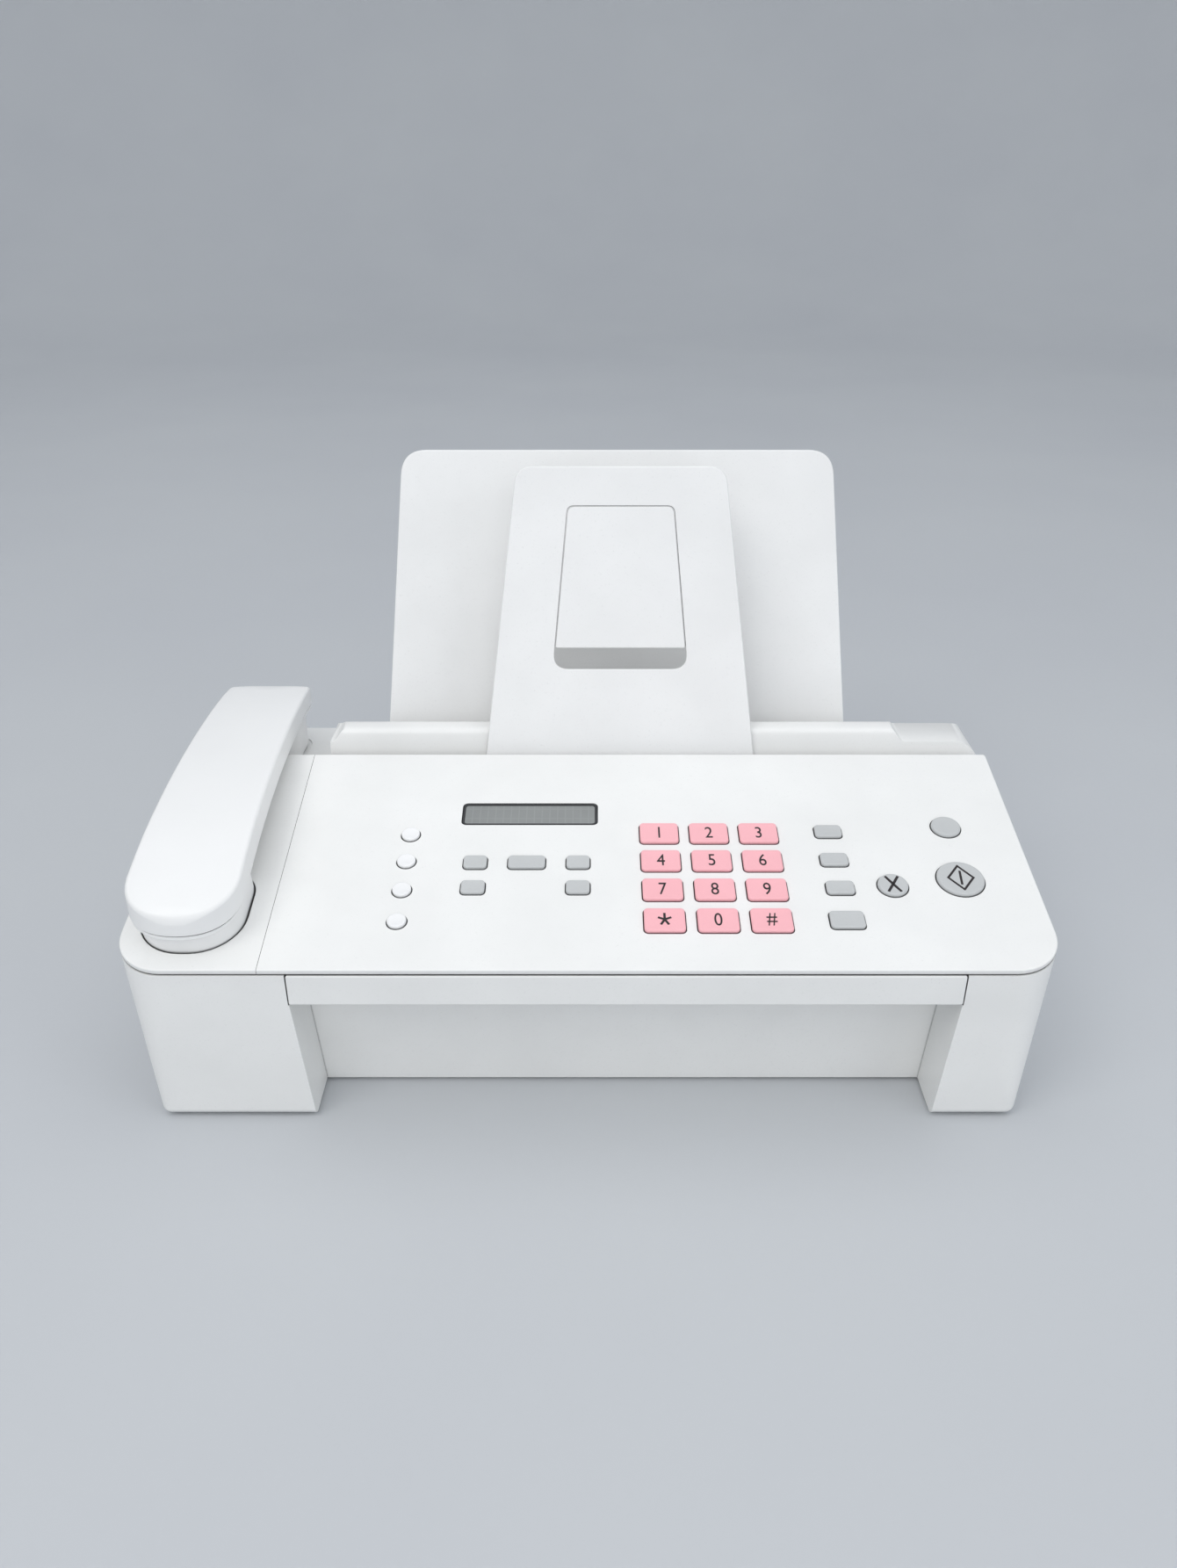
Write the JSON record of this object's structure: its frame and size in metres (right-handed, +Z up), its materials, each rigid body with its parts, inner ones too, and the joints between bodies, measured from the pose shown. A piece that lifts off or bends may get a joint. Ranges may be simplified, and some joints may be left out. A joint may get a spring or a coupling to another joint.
{
  "type": "fax machine",
  "caption": "Desktop plain-paper fax with a handset cradle, sloped key deck, front page recess and two leaning paper supports behind a hinged control panel.",
  "frame": {"origin": "middle of the underside of the whole object's box, on the surface it stands on", "axes": "+X across the machine to the right as a user faces it, +Y from the front to the rear, +Z up"},
  "size_m": [0.37, 0.222, 0.2255],
  "materials": {
    "casing_white": "fine satin texture",
    "handset_white": "semi-gloss moulded",
    "support_white": "fine satin texture",
    "display_window": "clear gloss over a grey display",
    "foot_rubber": "matt",
    "silicone_mat": "matt",
    "roller_rubber": "ground matt",
    "shaft_steel": "ground",
    "motor_steel": "zinc plated",
    "gear_nylon": "natural nylon",
    "black_plastic": "fine spark texture",
    "circuit_board": "solder mask",
    "key_pink": "satin",
    "key_grey": "satin",
    "key_white": "semi-gloss"
  },
  "bodies": {
    "casing": {"lower_casing": "casing_white", "foot_front_left": "foot_rubber", "foot_front_right": "foot_rubber", "foot_rear_left": "foot_rubber", "foot_rear_right": "foot_rubber", "front_fascia": "casing_white", "cradle_cover": "casing_white", "rear_cover": "casing_white", "scanner_bar": "black_plastic", "carriage_rod": "shaft_steel", "feed_motor": "motor_steel", "main_board": "circuit_board", "power_board": "circuit_board", "speaker": "black_plastic", "jack_block": "black_plastic", "power_inlet": "black_plastic"},
    "panel": {"control_panel": "casing_white", "lcd_window": "display_window", "key_mat": "silicone_mat", "panel_board": "circuit_board"},
    "handset": {"handset_back_shell": "handset_white", "handset_front_shell": "handset_white"},
    "hook_switch": {"hook_switch": "gear_nylon"},
    "document_support": {"document_support": "support_white"},
    "support_flap": {"support_flap": "support_white"},
    "paper_support": {"paper_support": "support_white"},
    "document_roller": {"document_roller": "roller_rubber"},
    "paper_roller": {"paper_roller": "roller_rubber", "feed_gear": "gear_nylon"},
    "exit_roller": {"exit_roller": "roller_rubber"},
    "motor_pinion": {"motor_pinion": "gear_nylon"},
    "ink_carriage": {"ink_carriage": "black_plastic"},
    "key_1": {"key_1": "key_pink"},
    "key_2": {"key_2": "key_pink"},
    "key_3": {"key_3": "key_pink"},
    "key_4": {"key_4": "key_pink"},
    "key_5": {"key_5": "key_pink"},
    "key_6": {"key_6": "key_pink"},
    "key_7": {"key_7": "key_pink"},
    "key_8": {"key_8": "key_pink"},
    "key_9": {"key_9": "key_pink"},
    "key_star": {"key_star": "key_pink"},
    "key_0": {"key_0": "key_pink"},
    "key_hash": {"key_hash": "key_pink"},
    "menu_left": {"menu_left": "key_grey"},
    "menu_select": {"menu_select": "key_grey"},
    "menu_right": {"menu_right": "key_grey"},
    "menu_volume": {"menu_volume": "key_grey"},
    "menu_program": {"menu_program": "key_grey"},
    "function_redial": {"function_redial": "key_grey"},
    "function_mute": {"function_mute": "key_grey"},
    "function_flash": {"function_flash": "key_grey"},
    "function_speaker": {"function_speaker": "key_grey"},
    "copy_button": {"copy_button": "key_grey"},
    "stop_button": {"stop_button": "key_grey"},
    "start_button": {"start_button": "key_grey"},
    "one_touch_1": {"one_touch_1": "key_white"},
    "one_touch_2": {"one_touch_2": "key_white"},
    "one_touch_3": {"one_touch_3": "key_white"},
    "one_touch_4": {"one_touch_4": "key_white"}
  },
  "joints": [
    {"name": "panel_hinge", "type": "hinge", "parent": "casing", "child": "panel", "pos_m": [0, 0.01825, 0.102], "axis": [-1, 0, 0], "range_deg": [0, 40]},
    {"name": "handset_lift", "type": "slide", "parent": "casing", "child": "handset", "axis": [0, -0.2079, 0.9781], "range_m": [0, 0.12]},
    {"name": "hook_travel", "type": "slide", "parent": "casing", "child": "hook_switch", "axis": [0, 0, 1], "range_m": [0, 0.004]},
    {"name": "document_support_pull", "type": "slide", "parent": "casing", "child": "document_support", "axis": [0, 0.342, 0.9397], "range_m": [0, 0.008]},
    {"name": "flap_hinge", "type": "hinge", "parent": "document_support", "child": "support_flap", "pos_m": [0.0148, 0.06284, 0.20869], "axis": [-1, 0, 0], "range_deg": [0, 160]},
    {"name": "paper_support_pull", "type": "slide", "parent": "casing", "child": "paper_support", "axis": [0, 0.3746, 0.9272], "range_m": [0, 0.02]},
    {"name": "document_roller_spin", "type": "hinge", "parent": "casing", "child": "document_roller", "pos_m": [0, 0.01005, 0.079], "axis": [1, 0, 0], "continuous": true},
    {"name": "paper_roller_spin", "type": "hinge", "parent": "casing", "child": "paper_roller", "pos_m": [0, 0.04905, 0.056], "axis": [1, 0, 0], "continuous": true},
    {"name": "exit_roller_spin", "type": "hinge", "parent": "casing", "child": "exit_roller", "pos_m": [0, -0.07295, 0.047], "axis": [1, 0, 0], "continuous": true},
    {"name": "pinion_spin", "type": "hinge", "parent": "casing", "child": "motor_pinion", "pos_m": [0, 0.02361, 0.03692], "axis": [1, 0, 0], "continuous": true},
    {"name": "carriage_slide", "type": "slide", "parent": "casing", "child": "ink_carriage", "axis": [-1, 0, 0], "range_m": [0, 0.205]},
    {"name": "key_1_press", "type": "slide", "parent": "panel", "child": "key_1", "axis": [0, 0.2079, -0.9781], "range_m": [0, 0.0012], "stiffness_N_per_m": 300, "springref_m": -0.001},
    {"name": "key_2_press", "type": "slide", "parent": "panel", "child": "key_2", "axis": [0, 0.2079, -0.9781], "range_m": [0, 0.0012], "stiffness_N_per_m": 300, "springref_m": -0.001},
    {"name": "key_3_press", "type": "slide", "parent": "panel", "child": "key_3", "axis": [0, 0.2079, -0.9781], "range_m": [0, 0.0012], "stiffness_N_per_m": 300, "springref_m": -0.001},
    {"name": "key_4_press", "type": "slide", "parent": "panel", "child": "key_4", "axis": [0, 0.2079, -0.9781], "range_m": [0, 0.0012], "stiffness_N_per_m": 300, "springref_m": -0.001},
    {"name": "key_5_press", "type": "slide", "parent": "panel", "child": "key_5", "axis": [0, 0.2079, -0.9781], "range_m": [0, 0.0012], "stiffness_N_per_m": 300, "springref_m": -0.001},
    {"name": "key_6_press", "type": "slide", "parent": "panel", "child": "key_6", "axis": [0, 0.2079, -0.9781], "range_m": [0, 0.0012], "stiffness_N_per_m": 300, "springref_m": -0.001},
    {"name": "key_7_press", "type": "slide", "parent": "panel", "child": "key_7", "axis": [0, 0.2079, -0.9781], "range_m": [0, 0.0012], "stiffness_N_per_m": 300, "springref_m": -0.001},
    {"name": "key_8_press", "type": "slide", "parent": "panel", "child": "key_8", "axis": [0, 0.2079, -0.9781], "range_m": [0, 0.0012], "stiffness_N_per_m": 300, "springref_m": -0.001},
    {"name": "key_9_press", "type": "slide", "parent": "panel", "child": "key_9", "axis": [0, 0.2079, -0.9781], "range_m": [0, 0.0012], "stiffness_N_per_m": 300, "springref_m": -0.001},
    {"name": "key_star_press", "type": "slide", "parent": "panel", "child": "key_star", "axis": [0, 0.2079, -0.9781], "range_m": [0, 0.0012], "stiffness_N_per_m": 300, "springref_m": -0.001},
    {"name": "key_0_press", "type": "slide", "parent": "panel", "child": "key_0", "axis": [0, 0.2079, -0.9781], "range_m": [0, 0.0012], "stiffness_N_per_m": 300, "springref_m": -0.001},
    {"name": "key_hash_press", "type": "slide", "parent": "panel", "child": "key_hash", "axis": [0, 0.2079, -0.9781], "range_m": [0, 0.0012], "stiffness_N_per_m": 300, "springref_m": -0.001},
    {"name": "menu_left_press", "type": "slide", "parent": "panel", "child": "menu_left", "axis": [0, 0.2079, -0.9781], "range_m": [0, 0.0012], "stiffness_N_per_m": 300, "springref_m": -0.001},
    {"name": "menu_select_press", "type": "slide", "parent": "panel", "child": "menu_select", "axis": [0, 0.2079, -0.9781], "range_m": [0, 0.0012], "stiffness_N_per_m": 300, "springref_m": -0.001},
    {"name": "menu_right_press", "type": "slide", "parent": "panel", "child": "menu_right", "axis": [0, 0.2079, -0.9781], "range_m": [0, 0.0012], "stiffness_N_per_m": 300, "springref_m": -0.001},
    {"name": "menu_volume_press", "type": "slide", "parent": "panel", "child": "menu_volume", "axis": [0, 0.2079, -0.9781], "range_m": [0, 0.0012], "stiffness_N_per_m": 300, "springref_m": -0.001},
    {"name": "menu_program_press", "type": "slide", "parent": "panel", "child": "menu_program", "axis": [0, 0.2079, -0.9781], "range_m": [0, 0.0012], "stiffness_N_per_m": 300, "springref_m": -0.001},
    {"name": "function_redial_press", "type": "slide", "parent": "panel", "child": "function_redial", "axis": [0, 0.2079, -0.9781], "range_m": [0, 0.0012], "stiffness_N_per_m": 300, "springref_m": -0.001},
    {"name": "function_mute_press", "type": "slide", "parent": "panel", "child": "function_mute", "axis": [0, 0.2079, -0.9781], "range_m": [0, 0.0012], "stiffness_N_per_m": 300, "springref_m": -0.001},
    {"name": "function_flash_press", "type": "slide", "parent": "panel", "child": "function_flash", "axis": [0, 0.2079, -0.9781], "range_m": [0, 0.0012], "stiffness_N_per_m": 300, "springref_m": -0.001},
    {"name": "function_speaker_press", "type": "slide", "parent": "panel", "child": "function_speaker", "axis": [0, 0.2079, -0.9781], "range_m": [0, 0.0012], "stiffness_N_per_m": 300, "springref_m": -0.001},
    {"name": "copy_button_press", "type": "slide", "parent": "panel", "child": "copy_button", "axis": [0, 0.2079, -0.9781], "range_m": [0, 0.0012], "stiffness_N_per_m": 300, "springref_m": -0.001},
    {"name": "stop_button_press", "type": "slide", "parent": "panel", "child": "stop_button", "axis": [0, 0.2079, -0.9781], "range_m": [0, 0.0012], "stiffness_N_per_m": 300, "springref_m": -0.001},
    {"name": "start_button_press", "type": "slide", "parent": "panel", "child": "start_button", "axis": [0, 0.2079, -0.9781], "range_m": [0, 0.0012], "stiffness_N_per_m": 300, "springref_m": -0.001},
    {"name": "one_touch_1_press", "type": "slide", "parent": "panel", "child": "one_touch_1", "axis": [0, 0.2079, -0.9781], "range_m": [0, 0.0012], "stiffness_N_per_m": 300, "springref_m": -0.001},
    {"name": "one_touch_2_press", "type": "slide", "parent": "panel", "child": "one_touch_2", "axis": [0, 0.2079, -0.9781], "range_m": [0, 0.0012], "stiffness_N_per_m": 300, "springref_m": -0.001},
    {"name": "one_touch_3_press", "type": "slide", "parent": "panel", "child": "one_touch_3", "axis": [0, 0.2079, -0.9781], "range_m": [0, 0.0012], "stiffness_N_per_m": 300, "springref_m": -0.001},
    {"name": "one_touch_4_press", "type": "slide", "parent": "panel", "child": "one_touch_4", "axis": [0, 0.2079, -0.9781], "range_m": [0, 0.0012], "stiffness_N_per_m": 300, "springref_m": -0.001}
  ],
  "couplings": [
    {"joint": "hook_travel", "follows": "handset_lift", "ratio": 0.033},
    {"joint": "pinion_spin", "follows": "paper_roller_spin", "ratio": -2.5},
    {"joint": "exit_roller_spin", "follows": "paper_roller_spin", "ratio": 1.8462}
  ]
}
